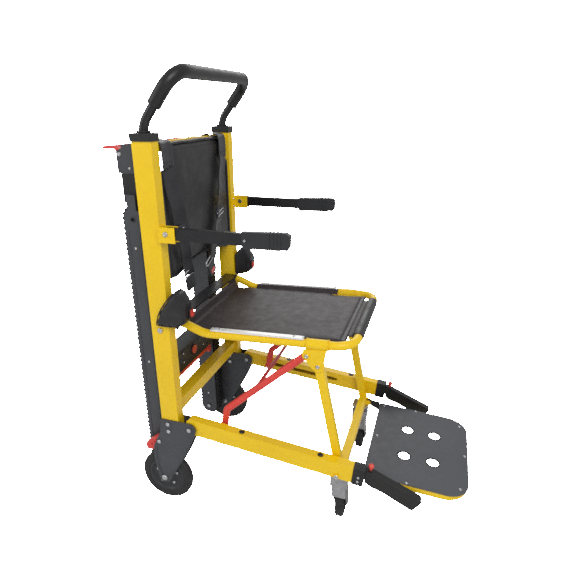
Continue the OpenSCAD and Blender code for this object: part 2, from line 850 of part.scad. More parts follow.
module footplate_frame() {
  y = 179.5;
  z = -board_t - foot_tube_r;
  front = 40 + board_len - foot_tube_r - 1;
  color("gold") placed() along_footplate()
    bent_tube([[66, -y, z], [front, -y, z], [front, y, z], [66, y, z]], [62, 62],
              foot_tube_r, foot_tube_r - 2);
  color("#1c1c1f") placed() both() along_footplate() difference() {
    slab(175, 185) {
      circle(7);
      polygon([[0, -7], [0, 7], [39, 4], [39, -5.2], [66, -5.2], [66, -22], [40, -22]]);
    }
    rod([0, 0], 160, 200, run_r);
  }
}

// ---------------------------------------------------------------- drawing
post(-1);  // post_right
post(1);  // post_left
post_collars();
top_crossbar();
bottom_crossmember();
wheel_bracket(-1);  // wheel_bracket_right
wheel_bracket(1);  // wheel_bracket_left
frame_bolts();
backrest_panel();
harness_webbing();
harness_buckles();
lap_belt_boots();
belt_button(-1);  // belt_button_right
belt_button(1);  // belt_button_left
arm_brackets();
push_handle_tube();
push_handle_grip();
armrest_bar(-1);  // armrest_bar_right
armrest_bar(1);  // armrest_bar_left
armrest_grip(-1);  // armrest_grip_right
armrest_grip(1);  // armrest_grip_left
rear_tyre(-1);  // rear_tyre_right
rear_tyre(1);  // rear_tyre_left
rear_hub(-1);  // rear_hub_right
rear_hub(1);  // rear_hub_left
brake_pedal(-1);  // brake_pedal_right
brake_pedal(1);  // brake_pedal_left
track_beams();
track_belts();
track_masts();
track_lower_rollers();
track_upper_rollers();
track_cross_housing();
release_button();
release_bar();
track_latch_plates();
latch_lever();
seat_tube();
seat_panel();
seat_front_sleeve();
seat_clamp_strips();
seat_hinge_bar();
seat_gussets();
rail(-1);  // rail_right
rail(1);  // rail_left
rail_end_caps();
front_handle(-1);  // front_handle_right
front_handle(1);  // front_handle_left
handle_knob(-1);  // handle_knob_right
handle_knob(1);  // handle_knob_left
leg_frame();
caster_plates();
brace();
slot_pins();
caster_fork(-1);  // caster_fork_right
caster_fork(1);  // caster_fork_left
caster_wheel(-1);  // caster_wheel_right
caster_wheel(1);  // caster_wheel_left
footplate_board();
footplate_frame();
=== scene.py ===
import json
import math
import bpy
import bmesh
from mathutils import Matrix, Vector, noise


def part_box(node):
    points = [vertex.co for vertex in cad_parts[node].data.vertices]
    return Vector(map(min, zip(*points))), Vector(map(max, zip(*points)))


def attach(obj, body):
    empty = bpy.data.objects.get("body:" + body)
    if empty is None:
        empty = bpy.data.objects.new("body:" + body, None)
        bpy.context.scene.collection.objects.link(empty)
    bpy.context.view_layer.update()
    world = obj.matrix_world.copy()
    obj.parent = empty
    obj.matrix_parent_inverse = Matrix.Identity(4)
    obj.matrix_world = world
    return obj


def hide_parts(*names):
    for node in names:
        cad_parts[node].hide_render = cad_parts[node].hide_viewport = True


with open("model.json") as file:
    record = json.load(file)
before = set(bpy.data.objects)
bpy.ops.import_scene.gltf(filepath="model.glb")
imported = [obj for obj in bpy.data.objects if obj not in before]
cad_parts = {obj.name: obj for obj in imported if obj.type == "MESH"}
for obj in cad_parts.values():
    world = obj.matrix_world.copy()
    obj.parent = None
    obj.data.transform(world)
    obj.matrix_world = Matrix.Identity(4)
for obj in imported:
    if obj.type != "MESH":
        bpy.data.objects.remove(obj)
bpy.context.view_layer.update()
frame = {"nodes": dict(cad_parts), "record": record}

nodes = frame["nodes"]
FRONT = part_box("post_right")[1][0]      # x of the posts' front faces, where the drawing has X = 0
SIDES = (("right", -1), ("left", 1))


RAIL_Y = 233        # middle of a post, a rail and a rear wheel
ARM_Y = 249.5       # middle of an armrest
TRACK_Y = 181.5     # middle of a track belt
SEAT_Y = 203        # middle of a seat side tube
CASTER = (492, 176)  # swivel of a caster, in X and Y


def at(x, y, z):
    """A point given in mm from the posts' front faces and the floor, in the row frame."""
    return Vector((FRONT + x / 1000, y / 1000, z / 1000))


# ------------------------------------------------------------------ camera, light and floor
AZ, EL, ROLL = math.radians(17.6996), math.radians(20.3106), -0.006174
fwd = Vector((-math.sin(AZ) * math.cos(EL), math.cos(AZ) * math.cos(EL), -math.sin(EL)))
right = Vector((math.cos(AZ), math.sin(AZ), 0))
up = right.cross(fwd)
r2 = math.cos(ROLL) * right + math.sin(ROLL) * up
u2 = -math.sin(ROLL) * right + math.cos(ROLL) * up
cam_data = bpy.data.cameras.new("camera")
cam_data.sensor_width, cam_data.lens = 36, 30.689
cam = bpy.data.objects.new("camera", cam_data)
bpy.context.scene.collection.objects.link(cam)
turn = Matrix((r2, u2, -fwd)).transposed()
cam.matrix_world = Matrix.Translation((FRONT + 0.70692, -1.35359, 1.21344)) @ turn.to_4x4()
bpy.context.scene.camera = cam
# Paint colours shown as they are, without a film curve
bpy.context.scene.view_settings.view_transform = "Standard"

world = bpy.data.worlds.new("studio")
bpy.context.scene.world = world
world.use_nodes = True
# Even studio light for the chair, and a plain white backdrop where the camera sees it
wt = world.node_tree
back_light = wt.nodes["Background"]
back_light.inputs[0].default_value = (1, 1, 1, 1)
back_light.inputs[1].default_value = 0.55
white = wt.nodes.new("ShaderNodeBackground")
white.inputs[0].default_value = (1, 1, 1, 1)
white.inputs[1].default_value = 20.0
seen = wt.nodes.new("ShaderNodeLightPath")
choose = wt.nodes.new("ShaderNodeMixShader")
wt.links.new(seen.outputs["Is Camera Ray"], choose.inputs[0])
wt.links.new(back_light.outputs[0], choose.inputs[1])
wt.links.new(white.outputs[0], choose.inputs[2])
wt.links.new(choose.outputs[0], wt.nodes["World Output"].inputs[0])


def lamp(name, where, size, power, target=(0, 0, 0.6)):
    data = bpy.data.lights.new(name, "AREA")
    data.shape, data.size, data.energy = "SQUARE", size, power
    o = bpy.data.objects.new(name, data)
    bpy.context.scene.collection.objects.link(o)
    o.location = where
    o.rotation_euler = (Vector(target) - Vector(where)).to_track_quat("-Z", "Y").to_euler()


lamp("key", (1.6, -2.2, 2.9), 1.6, 48)
lamp("fill", (-2.4, -1.6, 1.8), 2.0, 16)
lamp("rim", (-0.6, 2.6, 2.4), 1.8, 22)


# ------------------------------------------------------------------ materials
def ramp(nt, fac, lo, hi, out_lo=0.0, out_hi=1.0):
    n = nt.nodes.new("ShaderNodeMapRange")
    n.inputs["From Min"].default_value, n.inputs["From Max"].default_value = lo, hi
    n.inputs["To Min"].default_value, n.inputs["To Max"].default_value = out_lo, out_hi
    nt.links.new(fac, n.inputs["Value"])
    return n.outputs["Result"]


def texture(nt, kind, scale, detail=3.0, stretch=None):
    coord = nt.nodes.new("ShaderNodeTexCoord").outputs["Object"]
    if stretch:
        m = nt.nodes.new("ShaderNodeMapping")
        m.inputs["Scale"].default_value = stretch
        nt.links.new(coord, m.inputs["Vector"])
        coord = m.outputs["Vector"]
    if kind == "noise":
        n = nt.nodes.new("ShaderNodeTexNoise")
        n.inputs["Detail"].default_value = detail
        out = "Fac"
    elif kind == "cells":
        n = nt.nodes.new("ShaderNodeTexVoronoi")
        out = "Distance"
    else:
        n = nt.nodes.new("ShaderNodeTexWave")
        n.bands_direction = kind
        n.inputs["Distortion"].default_value = 0.4
        out = "Fac"
    n.inputs["Scale"].default_value = scale
    nt.links.new(coord, n.inputs["Vector"])
    return n.outputs[out]


def mix(nt, fac, a, b):
    n = nt.nodes.new("ShaderNodeMix")
    n.data_type = "RGBA"
    for socket, value in ((n.inputs[0], fac), (n.inputs[6], a), (n.inputs[7], b)):
        if isinstance(value, bpy.types.NodeSocket):
            nt.links.new(value, socket)
        else:
            socket.default_value = value if isinstance(value, float) else (*value, 1)
    return n.outputs[2]


def material(name, base, rough, metal=0.0, vary=0.12, vary_scale=9.0, bumps=(), edge=None,
             coat=0.0, sheen=0.0, rough_vary=0.07, dust=None):
    """bumps: (kind, scale, height in mm, stretch). edge: colour worn into the corners."""
    m = bpy.data.materials.new(name)
    m.use_nodes = True
    nt = m.node_tree
    b = nt.nodes["Principled BSDF"]
    b.inputs["Metallic"].default_value = metal
    b.inputs["Coat Weight"].default_value = coat
    b.inputs["Coat Roughness"].default_value = 0.18
    b.inputs["Sheen Weight"].default_value = sheen
    b.inputs["Sheen Roughness"].default_value = 0.4
    patch = texture(nt, "noise", vary_scale, 5)
    dark = [c * (1 - vary) for c in base]
    light = [min(1.0, c * (1 + vary)) for c in base]
    colour = mix(nt, ramp(nt, patch, 0.3, 0.7), dark, light)
    if dust:
        specks = ramp(nt, texture(nt, "noise", 160, 6), 0.60, 0.74, 0, 0.35)
        colour = mix(nt, specks, colour, dust)
    if edge:
        bev = nt.nodes.new("ShaderNodeBevel")
        bev.samples = 4
        bev.inputs["Radius"].default_value = 0.0016
        geo = nt.nodes.new("ShaderNodeNewGeometry")
        dot = nt.nodes.new("ShaderNodeVectorMath")
        dot.operation = "DOT_PRODUCT"
        nt.links.new(bev.outputs["Normal"], dot.inputs[0])
        nt.links.new(geo.outputs["Normal"], dot.inputs[1])
        worn = ramp(nt, dot.outputs["Value"], 0.985, 0.80, 0, 1)
        spots = ramp(nt, texture(nt, "noise", 70, 5), 0.42, 0.62, 0.05, 0.75)
        both = nt.nodes.new("ShaderNodeMath")
        both.operation = "MULTIPLY"
        nt.links.new(worn, both.inputs[0])
        nt.links.new(spots, both.inputs[1])
        colour = mix(nt, both.outputs[0], colour, edge)
    nt.links.new(colour, b.inputs["Base Color"])
    fine = texture(nt, "noise", 45, 4)
    nt.links.new(ramp(nt, fine, 0.3, 0.7, max(0.03, rough - rough_vary), min(1, rough + rough_vary)),
                 b.inputs["Roughness"])
    normal = None
    for kind, scale, height, *stretch in bumps:
        n = nt.nodes.new("ShaderNodeBump")
        n.inputs["Strength"].default_value = 0.6
        n.inputs["Distance"].default_value = height / 1000
        nt.links.new(texture(nt, kind, scale, 4, *stretch), n.inputs["Height"])
        if normal:
            nt.links.new(normal, n.inputs["Normal"])
        normal = n.outputs["Normal"]
    if normal:
        nt.links.new(normal, b.inputs["Normal"])
    return m


M = {
    "yellow_paint": material("yellow_paint", (0.91, 0.60, 0.002), 0.40, coat=0.04, vary=0.03,
                             bumps=[("noise", 900, 0.04)], edge=(0.92, 0.64, 0.02)),
    "red_paint": material("red_paint", (0.74, 0.05, 0.04), 0.38, coat=0.12, vary=0.06,
                          bumps=[("noise", 850, 0.04)], edge=(0.80, 0.16, 0.13)),
    "grey_paint": material("grey_paint", (0.052, 0.056, 0.066), 0.46, vary=0.12,
                           bumps=[("noise", 1400, 0.10)], edge=(0.09, 0.095, 0.11)),
    "black_paint": material("black_paint", (0.008, 0.008, 0.010), 0.33, coat=0.1, vary=0.15,
                            bumps=[("noise", 1200, 0.05)], edge=(0.03, 0.03, 0.034)),
    "zinc": material("zinc", (0.40, 0.41, 0.43), 0.42, metal=0.85, vary=0.18, vary_scale=60,
                     bumps=[("noise", 500, 0.05)], edge=(0.62, 0.62, 0.63)),
    "steel": material("steel", (0.55, 0.56, 0.58), 0.30, metal=1.0, vary=0.12, vary_scale=90,
                      bumps=[("noise", 700, 0.03, (1, 1, 8))], edge=(0.75, 0.75, 0.76)),
    "chrome": material("chrome", (0.72, 0.73, 0.75), 0.12, metal=1.0, vary=0.05, rough_vary=0.05,
                       bumps=[("noise", 300, 0.02)]),
    "aluminium": material("aluminium", (0.93, 0.93, 0.93), 0.40, metal=0.55, vary=0.06,
                          bumps=[("noise", 400, 0.04, (0.06, 1, 1))], edge=(0.85, 0.85, 0.86)),
    "black_plastic": material("black_plastic", (0.008, 0.008, 0.009), 0.42, vary=0.2,
                              bumps=[("noise", 1500, 0.08)], edge=(0.025, 0.025, 0.028)),
    "dark_plastic": material("dark_plastic", (0.022, 0.023, 0.027), 0.42, vary=0.15,
                             bumps=[("cells", 900, 0.08)], edge=(0.05, 0.05, 0.055),
                             dust=(0.04, 0.04, 0.044)),
    "red_plastic": material("red_plastic", (0.75, 0.07, 0.05), 0.24, coat=0.4, vary=0.07,
                            bumps=[("noise", 500, 0.03)]),
    "foam": material("foam", (0.007, 0.007, 0.008), 0.40, vary=0.2, vary_scale=30, sheen=0.02,
                     bumps=[("cells", 1100, 0.10), ("noise", 90, 0.15)]),
    "rubber_tyre": material("rubber_tyre", (0.014, 0.014, 0.016), 0.58, vary=0.25, vary_scale=25,
                            bumps=[("noise", 1100, 0.12)], dust=(0.03, 0.03, 0.03)),
    "belt_rubber": material("belt_rubber", (0.012, 0.012, 0.013), 0.52, vary=0.25, vary_scale=25,
                            bumps=[("noise", 900, 0.12)], dust=(0.026, 0.026, 0.026)),
    "vinyl": material("vinyl", (0.012, 0.0115, 0.014), 0.42, vary=0.15, vary_scale=7, sheen=0.03,
                      bumps=[("cells", 620, 0.12), ("noise", 55, 0.4)], rough_vary=0.06),
    "webbing": material("webbing", (0.020, 0.020, 0.024), 0.40, vary=0.2, vary_scale=14, sheen=0.05,
                        bumps=[("X", 120, 0.18), ("Z", 160, 0.22), ("noise", 60, 0.3)]),
}
M["footboard"] = material("footboard", (0.080, 0.083, 0.094), 0.50, vary=0.08, vary_scale=5,
                          bumps=[("cells", 420, 0.22), ("noise", 1500, 0.10)],
                          edge=(0.15, 0.15, 0.16), dust=(0.12, 0.12, 0.13))
M["thread"] = material("thread", (0.03, 0.03, 0.034), 0.6, vary=0.2, bumps=[("Z", 700, 0.1)])
M["foam_seat"] = material("seat_vinyl", (0.024, 0.015, 0.018), 0.50, vary=0.10, vary_scale=4,
                          sheen=0.05, bumps=[("cells", 560, 0.12), ("noise", 38, 0.45)],
                          rough_vary=0.05)
M["floor"] = material("floor", (0.80, 0.80, 0.80), 0.7, vary=0.01, bumps=[("noise", 200, 0.05)])

# The floor glows for the camera, so that it reads as white paper with a faint contact shadow
ft = M["floor"].node_tree
glow, path, dim = (ft.nodes.new("ShaderNode" + k) for k in ("Emission", "LightPath", "MixShader"))
glow.inputs[1].default_value = 20.0
part = ft.nodes.new("ShaderNodeMath")
part.operation = "MULTIPLY"
part.inputs[1].default_value = 0.92
ft.links.new(path.outputs["Is Camera Ray"], part.inputs[0])
ft.links.new(part.outputs[0], dim.inputs[0])
ft.links.new(ft.nodes["Principled BSDF"].outputs[0], dim.inputs[1])
ft.links.new(glow.outputs[0], dim.inputs[2])
ft.links.new(dim.outputs[0], ft.nodes["Material Output"].inputs[0])

floor = bpy.data.objects.new("floor", bpy.data.meshes.new("floor"))
bm = bmesh.new()
bmesh.ops.create_grid(bm, x_segments=8, y_segments=8, size=9)
bm.to_mesh(floor.data)
bm.free()
floor.data.materials.append(M["floor"])
bpy.context.scene.collection.objects.link(floor)

# Every CAD node gets its slot's material, rounded corners and shading that follows its curves
ROUND = {"post": 3.2, "rail": 3.0, "top_crossbar": 1.5, "bottom_cross": 2.4, "leg_frame": 2.0,
         "arm_bracket": 1.2, "armrest_bar": 2.2, "armrest_grip": 3.5, "footplate_board": 1.8,
         "front_handle": 4.0, "track_cross": 3.0, "track_beams": 1.2, "track_masts": 1.5,
         "brake": 1.6, "wheel_bracket": 1.0, "rail_end": 2.0, "seat_clamp": 0.9, "release_bar": 1.8,
         "latch_lever": 1.2, "caster_fork": 1.0, "caster_wheel": 2.0, "rear_tyre": 2.0}


def soften(o, width, angle=38):
    weld = o.modifiers.new("weld", "WELD")
    weld.merge_threshold = 0.00001
    merge = o.modifiers.new("merge", "DECIMATE")
    merge.decimate_type, merge.angle_limit = "DISSOLVE", math.radians(0.6)
    bevel = o.modifiers.new("bevel", "BEVEL")
    bevel.width, bevel.segments = width / 1000, 3
    bevel.limit_method, bevel.angle_limit = "ANGLE", math.radians(angle)
    bevel.use_clamp_overlap = True
    split = o.modifiers.new("split", "EDGE_SPLIT")
    split.split_angle = math.radians(30)
    flat = o.modifiers.new("flat", "WEIGHTED_NORMAL")
    flat.mode, flat.weight = "FACE_AREA", 100
    for p in o.data.polygons:
        p.use_smooth = True


for sub in frame["record"]["subparts"]:
    o = nodes[sub["node"]]
    o.data.materials.clear()
    o.data.materials.append(M[sub["material_slot"]])
    width = next((w for k, w in ROUND.items() if o.name.startswith(k)), 0.5)
    if o.name.startswith("rail_end"):
        width = ROUND["rail_end"]
    if o.name.startswith("post_collars"):
        width = 2.5
    soften(o, width)
nodes["footplate_board"].data.materials[0] = M["footboard"]
nodes["seat_hinge_bar"].data.materials[0] = M["black_paint"]


# ------------------------------------------------------------------ mesh helpers
def piece(name, verts, faces, slot, body, mat=None, smooth=True, bevel=0.0, subsurf=0):
    me = bpy.data.meshes.new(name)
    me.from_pydata([tuple(v) for v in verts], [], faces)
    me.update()
    o = bpy.data.objects.new(name, me)
    bpy.context.scene.collection.objects.link(o)
    bm = bmesh.new()
    bm.from_mesh(me)
    bmesh.ops.remove_doubles(bm, verts=bm.verts, dist=1e-6)
    bmesh.ops.recalc_face_normals(bm, faces=bm.faces)
    bm.to_mesh(me)
    bm.free()
    me.materials.append(M[mat or slot])
    if bevel:
        soften(o, bevel)
        o.modifiers.remove(o.modifiers["weld"])
        o.modifiers.remove(o.modifiers["merge"])
    for p in me.polygons:
        p.use_smooth = smooth
    if subsurf:
        s = o.modifiers.new("subdivision", "SUBSURF")
        s.levels = s.render_levels = subsurf
    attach(o, body)
    return o


def revolve(items, name, slot, body, n=32, **kw):
    """items: (centre, axis, profile of (radius, height along the axis)) lists, in metres and mm."""
    verts, faces = [], []
    for centre, axis, profile in items:
        axis = Vector(axis).normalized()
        u = axis.orthogonal().normalized()
        v = axis.cross(u)
        base, k = len(verts), len(profile)
        for i in range(n):
            a = 2 * math.pi * i / n
            d = u * math.cos(a) + v * math.sin(a)
            verts += [centre + d * r / 1000 + axis * h / 1000 for r, h in profile]
        for i in range(n):
            for j in range(k - 1):
                a, b = base + i * k + j, base + (i + 1) % n * k + j
                faces.append((a, b, b + 1, a + 1))
    return piece(name, verts, faces, slot, body, **kw)


def screw(r, h, socket=True):
    """Profile of a domed screw head with a socket."""
    rim = [(r * 1.12, 0), (r * 1.12, h * 0.16), (r, h * 0.2), (r, h * 0.55), (r * 0.86, h * 0.9),
           (r * 0.6, h)]
    middle = [(0.01, h * 0.45), (r * 0.46, h * 0.45), (r * 0.5, h)]
    return (middle if socket else [(0.01, h * 1.02)]) + rim[::-1]


def spline(points, step=6):
    """Smooth curve through the points."""
    p = [Vector(q) for q in points]
    p = [2 * p[0] - p[1]] + p + [2 * p[-1] - p[-2]]
    out = []
    for i in range(1, len(p) - 2):
        for k in range(step):
            t = k / step
            out.append(0.5 * (2 * p[i] + (p[i + 1] - p[i - 1]) * t
                              + (2 * p[i - 1] - 5 * p[i] + 4 * p[i + 1] - p[i + 2]) * t * t
                              + (3 * p[i] - p[i - 1] - 3 * p[i + 1] + p[i + 2]) * t ** 3))
    return out + [p[-2]]


def sweep(name, path, section, across, slot, body, closed=False, **kw):
    """Skins a closed section (a along across, b square to it and the path), in mm, along a path."""
    verts, faces, n, k = [], [], len(path), len(section)
    for i, p in enumerate(path):
        before = path[i - 1] if i or closed else p
        after = path[(i + 1) % n] if i < n - 1 or closed else p
        d = (after - before).normalized()
        w = across[min(i * len(across) // n, len(across) - 1)] if isinstance(across, list) else Vector(across)
        w = (w - w.dot(d) * d).normalized()
        t = d.cross(w)
        verts += [p + w * a / 1000 + t * b / 1000 for a, b in section]
    for i in range(n if closed else n - 1):
        for j in range(k):
            a, b = i * k + j, (i + 1) % n * k + j
            faces.append((a, a - j + (j + 1) % k, b - j + (j + 1) % k, b))
    if not closed:
        faces += [tuple(range(k))[::-1], tuple(range((n - 1) * k, n * k))]
    return piece(name, verts, faces, slot, body, **kw)


def circle(r, n=12):
    return [(r * math.cos(2 * math.pi * i / n), r * math.sin(2 * math.pi * i / n)) for i in range(n)]


def strap_section(w, t):
    """Webbing: thin, with a slightly thicker selvedge on each edge."""
    h, e = w / 2, t / 2
    half = [(-h, 0), (-h + 0.6, e * 1.3), (-h + 3, e * 1.3), (-h + 4.5, e), (0, e * 0.9), (h - 4.5, e),
            (h - 3, e * 1.3), (h - 0.6, e * 1.3), (h, 0)]
    return half + [(a, -b) for a, b in half[-2:0:-1]]


def prism(name, outline, origin, u, v, depth, slot, body, bevel=1.0, **kw):
    """Extrudes an outline (mm along u and v) by depth mm along u x v."""
    u, v = Vector(u).normalized(), Vector(v).normalized()
    w = u.cross(v)
    verts = [origin + u * a / 1000 + v * b / 1000 + w * d / 1000 for d in (0, depth) for a, b in outline]
    k = len(outline)
    faces = [tuple(range(k))[::-1], tuple(range(k, 2 * k))]
    faces += [(j, (j + 1) % k, k + (j + 1) % k, k + j) for j in range(k)]
    return piece(name, verts, faces, slot, body, bevel=bevel, **kw)


def rounded(w, h, r, n=5):
    """Outline of a rectangle w by h with corners of radius r."""
    return [(sx * (w / 2 - r) + r * math.cos(a), sy * (h / 2 - r) + r * math.sin(a))
            for sx, sy, a0 in ((1, 1, 0), (-1, 1, 90), (-1, -1, 180), (1, -1, 270))
            for a in [math.radians(a0 + 90 * i / n) for i in range(n + 1)]]


def stitches(name, paths, lift, body, pitch=5.0, length=3.2, r=0.55):
    """A row of single stitches along each path, lying on the side that lift points to."""
    verts, faces = [], []
    for path in paths:
        left = 0.0
        for a, b in zip(path, path[1:]):
            d = b - a
            span = d.length * 1000
            if span < 1e-6:
                continue
            d.normalize()
            w = d.cross(lift).normalized()
            while left < span:
                c, base = a + d * left / 1000, len(verts)
                for s, q in ((-0.5, 0.35), (-0.2, 1), (0.2, 1), (0.5, 0.35)):
                    for ca, sa in ((1, 0), (0, 1), (-1, 0), (0, -0.6)):
                        verts.append(c + (d * s * length + w * ca * r * q + lift * sa * r * q) / 1000)
                for i in range(3):
                    for j in range(4):
                        f = base + i * 4
                        faces.append((f + j, f + (j + 1) % 4, f + 4 + (j + 1) % 4, f + 4 + j))
                faces += [(base, base + 1, base + 2, base + 3), (base + 12, base + 13, base + 14, base + 15)]
                left += pitch
            left -= span
    return piece(name, verts, faces, "vinyl", body, mat="thread")


def pad(name, node, body, slot, shape, mat=None, shrink=1.5, voxel=0.005, pressure=4.0, cap=0.005):
    """A sewn pad from the CAD solid: remeshed, swelled as cloth within a cap, then shaped by the given shape
    function.
    """
    me = nodes[node].data.copy()
    o = bpy.data.objects.new(name, me)
    bpy.context.scene.collection.objects.link(o)
    bpy.context.view_layer.objects.active = o
    for other in bpy.context.selected_objects:
        other.select_set(False)
    o.select_set(True)
    me.materials.clear()
    me.materials.append(M[mat or slot])
    bm = bmesh.new()
    bm.from_mesh(me)
    bmesh.ops.remove_doubles(bm, verts=bm.verts, dist=1e-5)
    bm.to_mesh(me)
    bm.free()
    mod = o.modifiers.new("remesh", "REMESH")
    mod.mode, mod.voxel_size = "VOXEL", voxel
    bpy.ops.object.modifier_apply(modifier="remesh")
    me = o.data
    start = [v.co - v.normal * shrink / 1000 for v in me.vertices]
    for v, c in zip(me.vertices, start):
        v.co = c
    cloth = o.modifiers.new("cloth", "CLOTH")
    cloth.settings.use_pressure = True
    cloth.settings.uniform_pressure_force = pressure
    cloth.settings.effector_weights.gravity = 0
    cloth.settings.quality = 6
    cloth.point_cache.frame_start, cloth.point_cache.frame_end = 1, 20
    scene = bpy.context.scene
    for f in range(1, 21):
        scene.frame_set(f)
    swelled = o.evaluated_get(bpy.context.evaluated_depsgraph_get()).data
    ends = [v.co.copy() for v in swelled.vertices]
    o.modifiers.remove(cloth)
    scene.frame_set(1)
    for v, c, e in zip(me.vertices, start, ends):
        d = e - c
        v.co = c + d * (min(1.0, cap / d.length) if d.length > 0 else 0)
    for v in me.vertices:
        v.co = shape(v.co.copy(), v.normal)
    sm = o.modifiers.new("relax", "SMOOTH")
    sm.factor, sm.iterations = 0.5, 3
    s = o.modifiers.new("subdivision", "SUBSURF")
    s.levels = s.render_levels = 1
    for p in me.polygons:
        p.use_smooth = True
    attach(o, body)
    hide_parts(node)
    return o


def wrinkle(c, scale, height):
    return noise.fractal(c * scale, 1.0, 2.0, 3) * height / 1000


# ------------------------------------------------------------------ seat
TILT = math.atan((617 - 600) / (520 - 85))


def seat(s, y, n):
    """A point on the seat: s mm forward of the side tubes' bend, n mm above their centre line."""
    return at(85 + s * math.cos(TILT) - n * math.sin(TILT), y, 600 + s * math.sin(TILT) + n * math.cos(TILT))


def seat_shape(c, normal):
    x, y = (c.x - FRONT) * 1000, c.y * 1000
    edge = min(1.0, max(0.0, (189 - abs(y)) / 60)) * min(1.0, max(0.0, (488 - x) / 60))
    sag = -3.0 * edge * min(1.0, max(0.0, (x - 30) / 80))
    lift = 0.0
    if 60 < x < 400:
        lift = 7.0 * max(0.0, (abs(y) - 172) / 17) ** 1.5
    c.z += (sag + lift) / 1000 + wrinkle(c, 14, 1.6) * edge
    c.z += 0.0011 * edge * math.sin(x / 23 + y / 60) * max(0.0, (x - 330) / 160)
    return c


pad("seat_sling", "seat_panel", "seat", "vinyl", seat_shape, mat="foam_seat",
    shrink=1.2, cap=0.0035)

# Front hem: a folded band across the front edge of the sling, and bound side edges
hem = rounded(11, 15, 4.5)
sweep("seat_front_hem", [seat(399, y, -1.5 - 1.0 * math.cos(y / 178 * 1.5)) for y in range(-176, 177, 8)],
      hem, (0, 0, 1), "vinyl", "seat", subsurf=1)
stitches("seat_stitching",
         [[seat(390, y, 4.6) for y in range(-168, 169, 6)]] +
         [[seat(s, k * (180 if s < 285 else 170), 5.6) for s in range(-50, 386, 8)] for k in (-1, 1)],
         Vector((0, 0, 1)), "seat")
# The fabric wraps on to the side tubes, under the clamp strips
for side, k in SIDES:
    verts, faces = [], []
    cols = [(176, 3.5), (183, 7.0), (189, 11.5), (194, 13.6), (199, 14.4)]
    rows = list(range(14, 317, 8))
    for s in rows:
        for y, n in cols:
            fade = 0.5 * math.sin(s / 17.0) + 0.4 * math.sin(s / 7.3 + y)
            verts.append(seat(s, k * min(y, 215.3), n + (fade if n < 13 else 0)))
    m = len(cols)
    for i in range(len(rows) - 1):
        for j in range(m - 1):
            faces.append((i * m + j, i * m + j + 1, (i + 1) * m + j + 1, (i + 1) * m + j))
    wrap = piece("seat_wrap_" + side, verts, faces, "vinyl", "seat", mat="foam_seat")
    thick = wrap.modifiers.new("thick", "SOLIDIFY")
    thick.thickness, thick.offset = 0.0009, 0
    sub = wrap.modifiers.new("subdivision", "SUBSURF")
    sub.levels = sub.render_levels = 1
    sweep("clamp_strip_" + side, [seat(s, k * 204, 17.1) for s in (24, 40, 100, 180, 260, 286, 300)],
          rounded(16.5, 2.8, 1.0, 3), (0, 1, 0), "aluminium", "seat")
revolve([(seat(s, k * 204, 18.2), (0, 0, 1), screw(3.6, 2.2)) for s in (52, 272) for k in (-1, 1)],
        "clamp_screws", "steel", "seat", n=24)

# Sleeve round the front tube, sewn from the same fabric
ring = []
for i in range(24):
    a = 2 * math.pi * i / 24
    ring.append((16.0 * math.cos(a) - (1.2 if math.cos(a) < 0 else 0), 14.6 * math.sin(a)))
path = [at(519, y, 617) for y in range(-142, 143, 4)]
sleeve = sweep("seat_sleeve", path, ring, (1, 0, 0), "vinyl", "seat", subsurf=1)
for v in sleeve.data.vertices:
    y = abs(v.co.y * 1000)
    wave = 0.02 * math.sin(v.co.y * 310) * (v.co.x - at(519, 0, 0).x) / 0.016
    pull = 1 - 0.10 * max(0.0, (y - 132) / 10) + wave
    v.co.x = at(519, 0, 0).x + (v.co.x - at(519, 0, 0).x) * pull
    v.co.z = 0.617 + (v.co.z - 0.617) * pull
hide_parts("seat_front_sleeve")
stitches("sleeve_stitching", [[at(504.4, y, 623) for y in range(-136, 137, 6)]],
         Vector((-0.7, 0, 0.7)), "seat")
# Fabric between the sling's front hem and the sleeve
web_rows = [[seat(402, y, 0.5), seat(409, y, 1.2), seat(415, y, 1.6), seat(421, y, 1.9)]
            for y in range(-138, 139, 6)]
verts = [p for row in web_rows for p in row]
faces = [(i * 4 + j, i * 4 + j + 1, i * 4 + j + 5, i * 4 + j + 4)
         for i in range(len(web_rows) - 1) for j in range(3)]
web = piece("seat_front_web", verts, faces, "vinyl", "seat", mat="foam_seat")
thick = web.modifiers.new("thick", "SOLIDIFY")
thick.thickness, thick.offset = 0.002, 0

# ------------------------------------------------------------------ backrest


def back_shape(c, normal):
    x, y, z = (c.x - FRONT) * 1000, c.y * 1000, c.z * 1000
    inside = (min(1.0, max(0.0, (208 - abs(y)) / 70)) * min(1.0, max(0.0, (z - 752) / 60))
              * min(1.0, max(0.0, (1110 - z) / 60)))
    thinned = max(-26.6, min(-1.0, -14.0 + (x + 14.5) * 0.55))
    c.x = FRONT + (thinned - 3.5 * inside) / 1000 + wrinkle(c, 9, 2.6) * inside
    if z > 1095:
        c.x += -0.004 * (z - 1095) / 30
    return c


pad("backrest_sling", "backrest_panel", "back_frame", "vinyl", back_shape,
    shrink=1.0, cap=0.004)


def back_edge(inset):
    """The backrest's outline, inset by that many mm, as (y, z)."""
    w, t = 208 - inset, 158 - inset
    pts = [(-t, 1122 - inset), (-t, 1078 - inset), (-t - 6, 1062 - inset), (-t - 20, 1056 - inset),
           (-w + 22, 1056 - inset), (-w + 7, 1050 - inset), (-w, 1034 - inset), (-w, 900),
           (-w, 772 + inset), (-w + 8, 758 + inset), (-w + 24, 755 + inset)]
    arch = [(y, 112 + inset + math.sqrt(664 ** 2 - y * y)) for y in range(-170 + int(inset), 0, 20)]
    half = pts + arch
    return half + [(-y, z) for y, z in half[::-1]]


